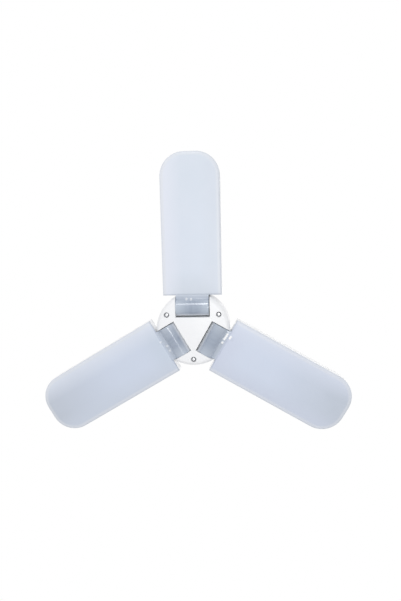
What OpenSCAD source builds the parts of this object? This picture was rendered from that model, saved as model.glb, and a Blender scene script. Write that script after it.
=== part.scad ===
// Deformable garage light: a screw-cap hub with three hinged light blades.
// Frame: +Z up towards the lampholder, Z = 0 at the screw cap's lower rim, blades open flat.
// A blade is drawn pointing along +X, with its hinge axis along Y, and then turned to its place.

/* [Screw cap] */
// Outside diameter of the screw thread
thread_d = 26.4; // [25.8:0.1:26.8]
// Rise of the thread in one turn
thread_pitch = 3.63; // [3.2:0.01:4]
// Turns of thread
thread_turns = 4.5; // [3.5:0.5:5.5]
// Depth of the thread from crest to root
thread_depth = 0.95; // [0.6:0.05:1.2]
// Thickness of the cap's sheet metal
shell_t = 0.35; // [0.25:0.05:0.5]
// Height of the plain collar below the thread
collar_h = 4; // [3:0.5:6]
// Height of the curled lip above the thread
lip_h = 2.2; // [1.6:0.2:3]
// Height of the insulator above the lip
insulator_h = 3; // [2:0.2:5]
// Diameter of the centre contact
contact_d = 9.2; // [7:0.2:10]
// Height of the centre contact above the insulator
contact_h = 1.4; // [0.8:0.2:2.4]

/* [Housing] */
// Diameter of the hub and its front cover
hub_d = 50; // [48:1:56]
// Wall of the housing
wall = 1.8; // [1.4:0.1:2.4]
// Step from the thread's crest out to the neck
neck_step = 1; // [0.6:0.1:2]
// Height of the straight neck below the cap
neck_h = 8; // [6:1:12]
// Height of the flare from the neck to the hub
flare_h = 16; // [14:1:22]
// Height of the straight ring above the hinge axes
ring_h = 12; // [11:1:16]
// Height of the spigot that fills the cap
spigot_h = 14; // [10:1:16]
// Width of each cooling slot
vent_w = 2; // [1.2:0.2:2.6]
// Length of each cooling slot
vent_len = 9; // [6:1:10]
// Distance between cooling slots
vent_step = 5; // [4:0.5:6]

/* [Front cover] */
// Thickness of the cover's face
cover_t = 2; // [1.6:0.1:2.6]
// Width of the bevel round the cover's rim
bevel_w = 2; // [1.6:0.1:2.4]
// Height of the bevel round the cover's rim
bevel_h = 3.2; // [2.6:0.1:3.6]
// Rise of the domed triangle in the middle
dome_h = 0.6; // [0.3:0.1:1]
// Distance of the cover screws in from the rim
screw_inset = 4.6; // [4.2:0.1:5]
// Diameter of a cover screw's shank
screw_d = 2; // [1.6:0.1:2.4]
// Diameter of a cover screw's head
screw_head_d = 3.1; // [2.8:0.1:3.4]
// Height of a cover screw's head
screw_head_h = 1.1; // [0.8:0.1:1.3]
// Length of a cover screw under its head
screw_len = 12; // [10:1:14]
// Depth of the holes that the screw heads sit in
counterbore_h = 1.9; // [1.6:0.1:2.2]

/* [Hinges] */
// Width of the white bridge between the corners of two windows
bridge_w = 2.95; // [2:0.05:4]
// Width of the knuckle on each blade
knuckle_w = 22.1; // [20:0.1:23]
// Diameter of the knuckle's barrel
barrel_d = 12.4; // [12:0.1:12.8]
// Amount by which the barrel stands proud of the cover
barrel_proud = 0.2; // [0:0.1:0.6]
// Diameter of the hinge pins
pin_d = 3; // [2.4:0.1:3.4]
// Depth of each hinge pin in the barrel
pin_depth = 4.5; // [3.5:0.1:5]
// Thickness of the walls that carry the hinge pins
pin_wall = 2.6; // [2.2:0.1:3]

/* [Blades] */
// Length of a blade
blade_len = 95; // [80:1:120]
// Width of a blade
blade_w = 40; // [38:1:44]
// Thickness of a blade
blade_t = 11; // [10:0.5:13]
// Radius of the corners at a blade's tip
tip_round = 16; // [10:1:18]
// Radius of the long edges of the light face
edge_round = 1.5; // [0.8:0.1:2]
// Wall of the diffuser
diffuser_wall = 1.8; // [1.4:0.1:2.2]
// Thickness of the light face
face_t = 1.6; // [1.2:0.1:2]
// Thickness of the aluminium back plate
plate_t = 2; // [1.5:0.1:2.6]
// Height of the cooling ribs on the back plate
rib_h = 1; // [0.6:0.1:1.6]
// Width of each cooling rib
rib_w = 1.6; // [1:0.1:2.4]
// Number of cooling ribs
rib_count = 5; // [3:1:7]
// Diameter of a back plate screw's head
plate_head_d = 3.8; // [3.2:0.1:4.2]

/* [Light source] */
// Thickness of the thermal pad
pad_t = 0.5; // [0.3:0.1:1]
// Thickness of the light board
led_board_t = 1; // [0.8:0.1:1.6]
// Columns of light chips
led_cols = 3; // [2:1:4]
// Distance between rows of light chips
led_step = 6.4; // [5:0.1:9]
// Length of a light chip
chip_len = 3.5; // [2.8:0.1:4]
// Width of a light chip
chip_w = 2.8; // [2:0.1:3.5]
// Height of a light chip
chip_h = 0.7; // [0.5:0.1:1]

/* [Driver] */
// Diameter of the driver board
board_d = 24.4; // [23.6:0.1:24.8]
// Thickness of the driver board
board_t = 1.2; // [0.8:0.1:1.6]
// Depth of the driver board below the neck's foot
board_drop = 10; // [8:0.5:12]
// Diameter of the smoothing capacitor
capacitor_d = 8; // [6.3:0.1:8.5]
// Height of the smoothing capacitor
capacitor_h = 15; // [10:0.5:20]
// Diameter of the choke
choke_d = 7.6; // [6:0.1:8]
// Height of the choke
choke_h = 9; // [7:0.5:12]
// Diameter of the fusible resistor
fuse_d = 3.2; // [2.4:0.1:3.6]
// Length of the fusible resistor
fuse_len = 9; // [6:0.5:11]
// Diameter of the leads with their sleeves
lead_d = 1.8; // [1.2:0.1:2]

/* [Hidden] */
BLADES = [1, 2, 3];
ROOT_NODES = ["screw_shell", "cap_insulator", "centre_contact", "driver_housing", "front_cover",
    "cover_screws", "driver_board", "smoothing_capacitor", "choke_coil", "bridge_rectifier",
    "driver_chip", "input_capacitor", "sense_resistors", "fuse_resistor", "live_lead", "neutral_lead"];
BLADE_NODES = ["hub_lead", "diffuser", "heat_plate", "thermal_pad", "led_board", "led_chips",
    "plate_screws", "hinge_pins", "blade_lead"];
$fn = 64;

// Small distances: how far cutters run past a surface, and the gaps of each fit
past = 1;
running_gap = 0.05;
slip_gap = 0.1;
board_gap = 0.2;
side_gap = 0.55;
barrel_gap = 0.4;
root_gap = 1;
fold_gap = 1.6;
clear_gap = 0.4;

// The three blades, and the cover screws between them
blade_turn = 360 / len(BLADES);
first_blade_angle = 270;
mitre = blade_turn / 2;

// Heights
hinge_z = -(neck_h + flare_h + ring_h);
barrel_r = barrel_d / 2;
face_z = hinge_z - barrel_r + barrel_proud;
thread_len = thread_turns * thread_pitch;
lip_z = collar_h + thread_len;
insulator_z = lip_z + lip_h;
contact_z = insulator_z + insulator_h;
board_z = -neck_h - board_drop;
board_floor = board_z - board_t;

// Cap and housing
lip_inset = 2.6;
skirt_wall = 1.4;
thread_r = thread_d / 2;
root_r = thread_r - thread_depth;
lip_r = root_r - lip_inset;
shell_mid_r = thread_r - thread_depth / 2;
spigot_r = root_r - shell_t - slip_gap;
spigot_bore_r = spigot_r - wall;
collar_seat_r = thread_r - shell_t - slip_gap;
collar_step_z = collar_h - 1;
neck_chamfer = 0.6;
hub_r = hub_d / 2;
neck_r = thread_r + neck_step;
pocket_r = board_d / 2 + board_gap;
ledge_w = 1;
vent_place = 0.64;
neck_bore_r = board_d / 2 - ledge_w;
skirt_r = pocket_r + skirt_wall;

// Hinges: the windows' corners leave a bridge of the cover's white wall between them
window_half = knuckle_w / 2 + side_gap;
window_r = (bridge_w / 2 + window_half * cos(mitre)) / sin(mitre);
hinge_r = window_r + barrel_gap + barrel_r;
pin_r = pin_d / 2;
pin_end = window_half + pin_wall - clear_gap;
pin_start = knuckle_w / 2 - pin_depth;
seat_r = pin_r + running_gap;
cavity_wall = 2.7;
cavity_r = barrel_r - cavity_wall;
cavity_end_wall = 0.8;
cavity_half = pin_start - cavity_end_wall;
lead_r = lead_d / 2;
lead_side = 3;
lead_step = 1;
lead_room = lead_r + 0.5;
thin_lead_r = 0.7 * lead_r;

// Cover screws
screw_pitch_r = hub_r - screw_inset;
screw_r = screw_d / 2;
post_wall = 1.9;
post_r = screw_r + post_wall;
head_room = 0.35;
counterbore_r = screw_head_d / 2 + head_room;
tip_room = 1.5;
head_seat_z = face_z + counterbore_h;

// Blades
blade_half = blade_w / 2;
blade_start = sqrt(pow(hub_r, 2) - pow(window_half, 2)) + root_gap;
blade_end = blade_start + blade_len;
folded_r = (blade_half - edge_round + fold_gap) / tan(mitre);
light_z = hinge_z - (hinge_r - folded_r);
back_z = light_z + blade_t;
plate_z = back_z - plate_t;
slot_top = back_z + clear_gap;
ledge_inset = diffuser_wall + ledge_w;
neck_wall = 1.6;
neck_floor_z = light_z + 0.5;
neck_top_z = back_z - 2.6;

// Back plate screws stand in bosses near the blade's edges
plate_screw_edge = 4;
plate_screw_r = 0.9;
plate_boss_r = 1.8;
plate_screw_len = 6;
tip_gap = 0.5;
plate_head_h = 1.2;
plate_screw_inset = [10, 3];
plate_screw_x = [blade_start + plate_screw_inset[0], blade_end - tip_round - plate_screw_inset[1]];
plate_screw_y = blade_half - plate_screw_edge;

// Light board
board_edge = 0.8;
boss_room = 0.3;
led_board_w = 2 * (plate_screw_y - plate_boss_r - boss_room);
led_board_inset = 5;
led_board_over = 4;
led_board_start = blade_start + led_board_inset;
led_rows = floor((blade_len - led_board_inset - tip_round + led_board_over) / led_step);
led_board_len = led_rows * led_step + 2 * board_edge;
pad_z = plate_z - pad_t;
led_board_z = pad_z - led_board_t;
chip_z = led_board_z - chip_h;

// Places of the driver's parts on its board
capacitor_at = [-5.7, 1.8];
choke_at = [5.8, 2.6];
bridge_at = [-5, -6.2];
fuse_at = [2.6, -6.4];
input_at = [0, 8.6];
neutral_at = [-0.8, -9.2];
pad_at_r = 8.5;
fuse_z = 1;

function unit(v) = v / norm(v);

// ---- Cap -------------------------------------------------------------------

thread_sides = 24;
turn_steps = 8;
shell_levels = floor(thread_turns * turn_steps);

// The rolled thread's wave at a turn angle and a count of turns; it fades over the first and last half turn
function thread_wave(a, s) = cos(360 * s - a) * min(1, 2 * s, 2 * (thread_turns - s));
function shell_ring(k, r) = [for (i = [0 : thread_sides - 1])
    let (a = 360 * i / thread_sides, s = min(k / turn_steps, thread_turns),
        wave_r = r + thread_depth / 2 * thread_wave(a, s))
    [wave_r * cos(a), wave_r * sin(a), collar_h + s * thread_pitch]];
// The triangles between ring k and ring j of a solid made of rings with sides points each
function band(k, j, sides) = [for (i = [0 : sides - 1])
    let (a = k * sides, b = j * sides, next = (i + 1) % sides)
    each [[a + i, b + i, b + next], [a + i, b + next, a + next]]];

// A helical thread pressed into thin sheet, so that the inside follows the outside
module rolled_thread() {
    inner = shell_levels + 1;
    rings = concat([for (k = [0 : shell_levels]) each shell_ring(k, shell_mid_r)],
        [for (k = [0 : shell_levels]) each shell_ring(k, shell_mid_r - shell_t)]);
    faces = concat([for (k = [0 : shell_levels - 1]) each band(k, k + 1, thread_sides)],
        [for (k = [0 : shell_levels - 1]) each band(inner + k + 1, inner + k, thread_sides)],
        band(inner, 0, thread_sides), band(shell_levels, inner + shell_levels, thread_sides));
    polyhedron(rings, faces, convexity = 6);
}

// The collar below the thread and the rolled lip above it are the same sheet
module screw_shell() color("silver") {
    rolled_thread();
    collar_in = thread_r - shell_t;
    seam_lap = 0.06;
    seam_out = shell_mid_r + seam_lap;
    seam_in = shell_mid_r - shell_t - seam_lap;
    rotate_extrude() polygon([[collar_in, 0], [thread_r, 0], [thread_r, collar_h - thread_depth / 2],
        [seam_out, collar_h], [seam_in, collar_h], [seam_in, collar_h - shell_t],
        [collar_in, collar_h - thread_depth]]);
    shoulder_z = insulator_z - lip_h / 4;
    shoulder_r = root_r - thread_depth;
    rotate_extrude() polygon([[seam_in, lip_z], [seam_out, lip_z], [seam_out, lip_z + shell_t],
        [shoulder_r, shoulder_z], [lip_r, insulator_z], [lip_r, insulator_z - shell_t],
        [shoulder_r - shell_t, shoulder_z - shell_t], [seam_in, lip_z + shell_t]]);
}

// The insulator's flange sits under the shell's lip and its cone carries the contact
module cap_insulator() color("dimgray") difference() {
    flange_r = root_r - 1.6;
    flange_t = 1;
    cone_z = insulator_z - 4 * shell_t;
    ledge_r = contact_d / 2 + 0.6;
    rotate_extrude() polygon([[0, lip_z - flange_t], [flange_r, lip_z - flange_t], [flange_r, cone_z],
        [lip_r - slip_gap, insulator_z - shell_t], [lip_r - slip_gap, insulator_z],
        [ledge_r, contact_z], [0, contact_z]]);
    translate([0, 0, lip_z - flange_t - past]) cylinder(r = lead_room, h = contact_z);
}

module centre_contact() color("goldenrod") {
    contact_r = contact_d / 2;
    rim_h = 0.4;
    top_r = contact_r - contact_h;
    rotate_extrude() polygon([[0, contact_z], [contact_r, contact_z], [contact_r, contact_z + rim_h],
        [top_r, contact_z + contact_h], [0, contact_z + contact_h]]);
    translate([0, 0, insulator_z]) cylinder(r = lead_room - slip_gap, h = insulator_h);
}

// ---- Housing and cover -----------------------------------------------------

flare_steps = 10;
// The flare swells from the neck to the hub along half a cosine wave
function flare_point(t, inset) = [neck_r - inset + (hub_r - neck_r) * (1 - cos(180 * t)) / 2,
    -neck_h - flare_h * t - inset / 3];
function flare(inset) = [for (i = [0 : flare_steps]) flare_point(i / flare_steps, inset)];

// The outside of neck, flare and ring, with the spigot that holds the cap's shell on top
module housing_outside() rotate([0, 0, first_blade_angle]) rotate_extrude() polygon(concat(
    [[0, spigot_h], [spigot_r, spigot_h], [spigot_r, collar_step_z], [collar_seat_r, collar_step_z],
    [collar_seat_r, 0], [neck_r - neck_chamfer, 0], [neck_r, -neck_chamfer]],
    flare(0), [[hub_r, hinge_z], [0, hinge_z]]));

// The hollow outside the skirt that holds the driver board
module bell_hollow() rotate([0, 0, first_blade_angle]) rotate_extrude() polygon(concat(
    [[0, board_floor - past], [skirt_r, board_floor - past]],
    [for (p = flare(wall)) if (p[0] > skirt_r + board_gap) p],
    [[hub_r - wall, hinge_z - past], [0, hinge_z - past]]));

// The bore through spigot and neck, with a ledge that the driver board rests against
module neck_bore() rotate([0, 0, first_blade_angle]) rotate_extrude() polygon([
    [0, spigot_h + past], [spigot_bore_r, spigot_h + past], [spigot_bore_r, -wall], [neck_bore_r, -wall],
    [neck_bore_r, board_z], [pocket_r, board_z], [pocket_r, board_floor - 2 * past],
    [0, board_floor - 2 * past]]);

// The wedge between two windows, in plan, pointing along +X; it keeps side away from both blade axes
module wedge(side) {
    tip = side / sin(mitre);
    far = hub_d * [cos(mitre), sin(mitre)];
    polygon([[tip, 0], [tip + far[0], far[1]], [tip + far[0], -far[1]]]);
}

// The bent wall along both sides of a wedge, which carries one hinge pin of each neighbour blade.
// It reaches past the wedge's sides, and the windows trim it.
module pin_walls(z0, z1) translate([0, 0, z0]) linear_extrude(z1 - z0) difference() {
    wedge(window_half - past);
    wedge(window_half + pin_wall);
}

module at_wedges() for (n = BLADES) rotate([0, 0, first_blade_angle + mitre + n * blade_turn]) children();
module at_blade(n) rotate([0, 0, first_blade_angle + (n - 1) * blade_turn]) children();

// The bores in which both pins of one blade turn
module pin_seats() translate([hinge_r, 0, hinge_z]) rotate([90, 0, 0])
    cylinder(r = seat_r, h = 2 * (pin_end + clear_gap / 2), center = true);

module window(z0, z1) translate([window_r, -window_half, z0]) cube([hub_d, 2 * window_half, z1 - z0]);

// Three cooling slots through the flare above one blade
module vents() {
    mid_z = -neck_h - flare_h * vent_place;
    for (side = [-1 : 1])
        translate([skirt_r + wall / 2, side * vent_step, 0]) {
            translate([0, -vent_w / 2, mid_z - vent_len / 2 + vent_w / 2])
                cube([hub_r, vent_w, vent_len - vent_w]);
            for (end = [-1, 1]) translate([0, 0, mid_z + end * (vent_len - vent_w) / 2])
                rotate([0, 90, 0]) cylinder(d = vent_w, h = hub_r);
        }
}

// Walls for the hinge pins and posts for the cover's screws, standing in the hollow
module hub_walls() at_wedges() {
    pin_walls(hinge_z - 2 * past, -neck_h);
    translate([screw_pitch_r, 0, hinge_z - 2 * past]) cylinder(r = post_r, h = ring_h + flare_h);
}

module driver_housing() color("white") {
    difference() {
        housing_outside();
        difference() {
            bell_hollow();
            hub_walls();
        }
        neck_bore();
        for (n = BLADES) at_blade(n) {
            vents();
            window(hinge_z - past, slot_top);
            pin_seats();
        }
        at_wedges() translate([screw_pitch_r, 0, hinge_z - past])
            cylinder(r = screw_r, h = screw_len - (hinge_z - head_seat_z) + tip_room + past);
    }
    board_hooks();
}

// Three small hooks under the driver board's rim
module board_hooks() {
    hook_w = 3;
    hook_h = 0.8;
    hook_in = 0.7;
    hook_out = 0.2;
    at_wedges() translate([pocket_r - hook_in, -hook_w / 2, board_floor - hook_h])
        cube([hook_in + hook_out, hook_w, hook_h]);
}

module cover_shell() rotate([0, 0, first_blade_angle]) rotate_extrude() polygon([
    [0, face_z], [hub_r - bevel_w, face_z],
    [hub_r, face_z + bevel_h], [hub_r, hinge_z], [hub_r - wall, hinge_z], [hub_r - wall, face_z + cover_t],
    [0, face_z + cover_t]]);

// The dome ends in the corners between the windows, at this many times the distance of its sides
dome_reach = 1.7;

// A triangle in plan whose sides stand r from the lamp's axis and face the blades
module blade_triangle(r) polygon([for (n = BLADES)
    let (a = first_blade_angle + mitre + n * blade_turn) 2 * r * [cos(a), sin(a)]]);

// The triangle in the middle of the cover bulges out as the cap of a wide sphere
module cover_dome() {
    dome_r = dome_reach * window_r;
    ball_r = (pow(dome_r, 2) + pow(dome_h, 2)) / (2 * dome_h);
    intersection() {
        translate([0, 0, face_z - dome_h]) linear_extrude(dome_h + cover_t / 2) blade_triangle(window_r);
        translate([0, 0, face_z + ball_r - dome_h]) sphere(r = ball_r, $fn = 200);
    }
}

module front_cover() color("white") difference() {
    rim_wall = 1.2;
    inner_side = window_r - rim_wall;
    floor_z = face_z + cover_t;
    union() {
        cover_shell();
        cover_dome();
        intersection() {
            cylinder(r = hub_r - wall / 2, h = 4 * hub_d, center = true);
            at_wedges() {
                pin_walls(floor_z - cover_t / 2, hinge_z);
                translate([screw_pitch_r, 0, floor_z - cover_t / 2])
                    cylinder(r = post_r, h = hinge_z - floor_z + cover_t / 2);
            }
        }
        translate([0, 0, floor_z - cover_t / 2]) linear_extrude(hinge_z - floor_z - clear_gap + cover_t / 2)
            intersection() {
                difference() {
                    blade_triangle(window_r);
                    blade_triangle(inner_side);
                }
                circle(r = window_half / sin(mitre) + pin_wall);
            }
    }
    for (n = BLADES) at_blade(n) {
        window(face_z - dome_h - past, hinge_z + past);
        pin_seats();
    }
    at_wedges() translate([screw_pitch_r, 0, 0]) {
        translate([0, 0, face_z - past]) cylinder(r = screw_r + slip_gap, h = hinge_z - face_z + 2 * past);
        translate([0, 0, face_z - past]) cylinder(r = counterbore_r, h = counterbore_h + past);
    }
}

// A pan-head screw standing on its head at the origin, with its shank upwards and a cross recess;
// the shares of the head are those of a small pan head
module pan_screw(shank_r, shank_len, head_r, head_h) {
    crown = [[1, 0], [1, 0.45], [0.86, 0.8], [0.6, 1]];
    recess_w = 0.28 * head_r;
    recess_half = 0.55 * head_r;
    recess_h = 0.5 * head_h;
    point_r = 0.3 * shank_r;
    rotate_extrude() polygon([[0, 0], [shank_r, 0], [shank_r, shank_len - shank_r],
        [point_r, shank_len], [0, shank_len]]);
    difference() {
        rotate_extrude() polygon(concat([[0, 0]],
            [for (share = crown) [share[0] * head_r, -share[1] * head_h]], [[0, -head_h]]));
        for (a = [0, 90]) rotate([0, 0, a]) translate([-recess_half, -recess_w / 2, -head_h - past])
            cube([2 * recess_half, recess_w, past + recess_h]);
    }
}

module cover_screws() color("gray") at_wedges() translate([screw_pitch_r, 0, head_seat_z])
    pan_screw(screw_r, screw_len, screw_head_d / 2, screw_head_h);

// ---- Driver ----------------------------------------------------------------

module driver_board() color("darkgreen") translate([0, 0, board_floor])
    cylinder(r = board_d / 2, h = board_t);

module on_board(place) translate([place[0], place[1], board_z]) children();

// An aluminium can in a sleeve, with a groove above its foot
module smoothing_capacitor() color("black") on_board(capacitor_at) {
    r = capacitor_d / 2;
    rim = 0.4;
    groove_z = 1.8;
    rotate_extrude() polygon([[0, 0], [r, 0], [r, groove_z - rim], [r - rim, groove_z], [r, groove_z + rim],
        [r, capacitor_h - rim], [r - rim, capacitor_h], [0, capacitor_h]]);
}

// A winding between the two flanges of a drum core
module choke_coil() color("saddlebrown") on_board(choke_at) {
    r = choke_d / 2;
    flange_t = 1.2;
    winding_r = r - 0.5;
    cylinder(r = r, h = flange_t);
    translate([0, 0, flange_t]) cylinder(r = winding_r, h = choke_h - 2 * flange_t);
    translate([0, 0, choke_h - flange_t]) cylinder(r = r, h = flange_t);
}

// A moulded block of size body at height z, with count legs along each of its long sides
module chip_package(body, z, leg, leg_step, count, leg_z) {
    translate([-body[0] / 2, -body[1] / 2, z]) cube(body);
    for (i = [0 : count - 1], side = [-1, 1])
        translate([(i - (count - 1) / 2) * leg_step - leg[0] / 2, side * body[1] / 2 - leg[1] / 2, leg_z])
            cube(leg);
}

module bridge_rectifier() color("black") on_board(bridge_at)
    chip_package([4.6, 3.8, 2.3], 0.2, [0.6, 1.6, 0.5], 2.6, 2, 0);

// The driver chip and its eight legs lie under the board
module driver_chip() color("black") translate([0, 0, board_floor])
    chip_package([4.9, 3.9, 1.5], -1.7, [0.4, 2, 0.4], 1.27, 4, -0.4);

module input_capacitor() color("firebrick") on_board(input_at) {
    body = [5, 2.5, 5.4];
    body_z = 0.6;
    leg_d = 0.6;
    leg_x = 1.5;
    translate([-body[0] / 2, -body[1] / 2, body_z]) cube(body);
    for (side = [-1, 1]) translate([side * leg_x, 0, 0]) cylinder(d = leg_d, h = body_z + slip_gap);
}

// Three chip resistors under the board, between the pads of the light leads
module sense_resistors() color("dimgray") {
    body = [3.2, 1.6, 0.6];
    at_wedges() translate([pad_at_r - body[0] / 2, -body[1] / 2, board_floor - body[2]]) cube(body);
}

// It stands on one leg; its two ends are thicker than its waist
module fuse_resistor() color("burlywood") on_board(fuse_at) {
    r = fuse_d / 2;
    waist_r = r - 0.3;
    end_r = r - 0.4;
    end_h = 2;
    edge = 0.5;
    leg_d = 0.7;
    translate([0, 0, fuse_z]) rotate_extrude() polygon([[0, 0], [end_r, 0], [r, edge], [r, end_h - edge],
        [waist_r, end_h], [waist_r, fuse_len - end_h], [r, fuse_len - end_h + edge], [r, fuse_len - edge],
        [end_r, fuse_len], [0, fuse_len]]);
    cylinder(d = leg_d, h = fuse_z + slip_gap);
}

// ---- Leads -----------------------------------------------------------------

// A route with each corner cut back by up to cut and rounded with a quadratic curve
function corner(a, b, c, cut) = let (back = min(cut, norm(a - b) / 2, norm(c - b) / 2),
        p = b + back * unit(a - b), q = b + back * unit(c - b))
    [for (t = [0 : 0.25 : 1]) (1 - t) * (1 - t) * p + 2 * t * (1 - t) * b + t * t * q];
function rounded(route, cut) = concat([route[0]],
    [for (i = [1 : len(route) - 2]) each corner(route[i - 1], route[i], route[i + 1], cut)],
    [route[len(route) - 1]]);

// Directions at the points of a path, and a normal carried along them without twist
function heading(path, i) = unit(path[min(i + 1, len(path) - 1)] - path[max(i - 1, 0)]);
function settle(n, t) = unit(n - (n * t) * t);
function first_normal(t) = abs(t[0]) < 0.8 ? settle([1, 0, 0], t) : settle([0, 1, 0], t);
function normals(path, i = 0, n = undef) = i == len(path) ? [] :
    let (t = heading(path, i), now = is_undef(n) ? first_normal(t) : settle(n, t))
    concat([now], normals(path, i + 1, now));

// A round lead swept along a route, with eight sides
lead_bend = 1.6;
module lead(route, r) {
    sides = 8;
    path = rounded(route, lead_bend);
    side_of = normals(path);
    last = len(path) - 1;
    points = [for (i = [0 : last]) let (n = side_of[i], b = cross(heading(path, i), n))
        for (j = [0 : sides - 1]) let (a = 360 * j / sides) path[i] + r * (cos(a) * n + sin(a) * b)];
    walls = [for (i = [0 : last - 1], j = [0 : sides - 1]) let (k = i * sides, m = (j + 1) % sides) each
        [[k + j, k + sides + m, k + m], [k + j, k + sides + j, k + sides + m]]];
    ends = [[for (j = [0 : sides - 1]) j], [for (j = [sides - 1 : -1 : 0]) last * sides + j]];
    polyhedron(points, concat(walls, ends), convexity = 6);
}

// From the contact's rivet down to the fusible resistor's upper end
module live_lead() color("firebrick") {
    fuse_top = board_z + fuse_z + fuse_len;
    lead([[0, 0, insulator_z], [0, 0, spigot_h], [0, -wall, spigot_h / 2], [fuse_at[0], fuse_at[1], 0],
        [fuse_at[0], fuse_at[1], fuse_top]], thin_lead_r);
}

// From the board up inside the neck, over the spigot's edge and against the shell
module neutral_lead() color("black") {
    inside_y = lead_r + slip_gap - spigot_bore_r;
    over_z = spigot_h + lead_r + board_gap;
    lead([[neutral_at[0], neutral_at[1], board_z], [neutral_at[0], neutral_at[1], -wall],
        [0, inside_y, wall], [0, inside_y, over_z], [0, shell_t + board_gap - root_r, over_z]], thin_lead_r);
}

// From the driver board down to the hinge, ending on the hinge axis, where it meets the blade's lead
module hub_lead() color("white") {
    drop = 6;
    lead([[pad_at_r, lead_side, board_floor], [pad_at_r, lead_side, board_floor - drop],
        [hinge_r, lead_side, hinge_z + barrel_r], [hinge_r, lead_side, hinge_z],
        [hinge_r, slip_gap / 2, hinge_z]], lead_r);
}

// From the hinge axis through the neck into the diffuser and up to the light board
module blade_lead() color("white") {
    y = -lead_side - lead_step;
    pad_x = led_board_start + lead_d;
    lead([[hinge_r, -slip_gap / 2, hinge_z], [hinge_r, y, hinge_z], [led_board_start, y, hinge_z],
        [pad_x, y, (hinge_z + led_board_z) / 2], [pad_x, y, led_board_z]], lead_r);
}

// ---- Blades ----------------------------------------------------------------

// A blade's outline in plan, drawn in by inset: square at the hub, round at the tip
module blade_plan(inset) {
    tip_x = blade_end - tip_round;
    side_y = blade_half - tip_round;
    translate([blade_start + inset, inset - blade_half])
        square([tip_x - blade_start - inset, blade_w - 2 * inset]);
    translate([tip_x, -side_y]) square([tip_round - inset, 2 * side_y]);
    for (side = [-1, 1]) translate([tip_x, side * side_y]) circle(r = tip_round - inset);
}

// The same outline as a ring of points at height z
function blade_ring(inset, z) = concat(
    [[blade_start + inset, inset - blade_half, z]],
    [for (side = [-1, 1], a = [0 : 9 : 90]) let (turn = a + 45 * (side - 1))
        [blade_end - tip_round + (tip_round - inset) * cos(turn),
        side * (blade_half - tip_round) + (tip_round - inset) * sin(turn), z]],
    [[blade_start + inset, blade_half - inset, z]]);

// The diffuser's outside, with the edges of its light face rounded
module blade_block() {
    rings = concat([for (a = [0 : 30 : 90])
        blade_ring(edge_round * (1 - sin(a)), light_z + edge_round * (1 - cos(a)))], [blade_ring(0, back_z)]);
    sides = len(rings[0]);
    last = len(rings) - 1;
    walls = [for (k = [0 : last - 1]) each band(k, k + 1, sides)];
    ends = [[for (i = [0 : sides - 1]) i], [for (i = [sides - 1 : -1 : 0]) last * sides + i]];
    polyhedron([for (ring = rings) each ring], concat(walls, ends), convexity = 4);
}

// The knuckle: a barrel on the hinge axis and a neck, open above, that joins it to the blade
module knuckle() {
    half = knuckle_w / 2;
    difference() {
        union() {
            translate([hinge_r, 0, hinge_z]) rotate([90, 0, 0])
                cylinder(r = barrel_r, h = knuckle_w, center = true);
            translate([hinge_r, -half, neck_floor_z])
                cube([blade_start + diffuser_wall / 2 - hinge_r, knuckle_w, neck_top_z - neck_floor_z]);
        }
        difference() {
            translate([hinge_r, neck_wall - half, neck_floor_z + neck_wall])
                cube([blade_start - hinge_r, knuckle_w - 2 * neck_wall, blade_t]);
            translate([hinge_r, 0, hinge_z]) rotate([90, 0, 0])
                cylinder(r = barrel_r, h = knuckle_w + past, center = true);
        }
    }
}

// Bosses for the back plate's screws, standing on the light face
module plate_bosses() for (x = plate_screw_x, side = [-1, 1])
    translate([x, side * plate_screw_y, light_z + face_t / 2])
        cylinder(r = plate_boss_r, h = plate_z - light_z - face_t / 2);

// One milky moulding: a tray whose floor is the light face, with the hinge knuckle on its inner end
module diffuser() color("lightsteelblue") difference() {
    union() {
        difference() {
            union() {
                blade_block();
                knuckle();
            }
            translate([0, 0, light_z + face_t])
                linear_extrude(plate_z - light_z - face_t) blade_plan(ledge_inset);
            translate([0, 0, plate_z]) linear_extrude(plate_t + past) blade_plan(diffuser_wall);
        }
        plate_bosses();
    }
    translate([hinge_r, 0, hinge_z]) rotate([90, 0, 0]) {
        cylinder(r = cavity_r, h = 2 * cavity_half, center = true);
        for (side = [-1, 1]) translate([0, 0, side * (pin_start + pin_depth)])
            cylinder(r = pin_r, h = 2 * pin_depth, center = true);
    }
    // The hub's lead comes in here; the blade turns a quarter turn round it
    translate([hinge_r - hub_r, lead_side - lead_room, hinge_z - lead_room])
        cube([hub_r + lead_room, 2 * lead_room, hub_r]);
    // The blade's lead leaves the barrel here and passes through the diffuser's end wall
    translate([hinge_r, -lead_side - lead_step - lead_room, hinge_z - lead_room])
        cube([blade_start + ledge_inset + past - hinge_r, 2 * lead_room, 2 * lead_room]);
    for (x = plate_screw_x, side = [-1, 1]) translate([x, side * plate_screw_y, plate_z - plate_screw_len])
        cylinder(r = plate_screw_r, h = plate_screw_len + past);
}

// A flat aluminium plate in the diffuser's back, with long cooling ribs
module heat_plate() color("silver") difference() {
    rib_step = 2 * (plate_screw_y - plate_head_d) / (rib_count + 1);
    rib_start = blade_start + 8;
    rib_len = blade_len - tip_round - 4;
    rib_root = 0.5;
    union() {
        translate([0, 0, plate_z]) linear_extrude(plate_t) blade_plan(diffuser_wall + board_gap);
        for (i = [0 : rib_count - 1])
            translate([rib_start, (i - (rib_count - 1) / 2) * rib_step - rib_w / 2, back_z - rib_root])
                cube([rib_len, rib_w, rib_h + rib_root]);
    }
    for (x = plate_screw_x, side = [-1, 1]) translate([x, side * plate_screw_y, plate_z - past])
        cylinder(r = plate_screw_r + slip_gap, h = plate_t + 2 * past);
}

module plate_screws() color("gray") for (x = plate_screw_x, side = [-1, 1])
    translate([x, side * plate_screw_y, back_z]) mirror([0, 0, 1])
        pan_screw(plate_screw_r, plate_t + plate_screw_len - tip_gap, plate_head_d / 2, plate_head_h);

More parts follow.
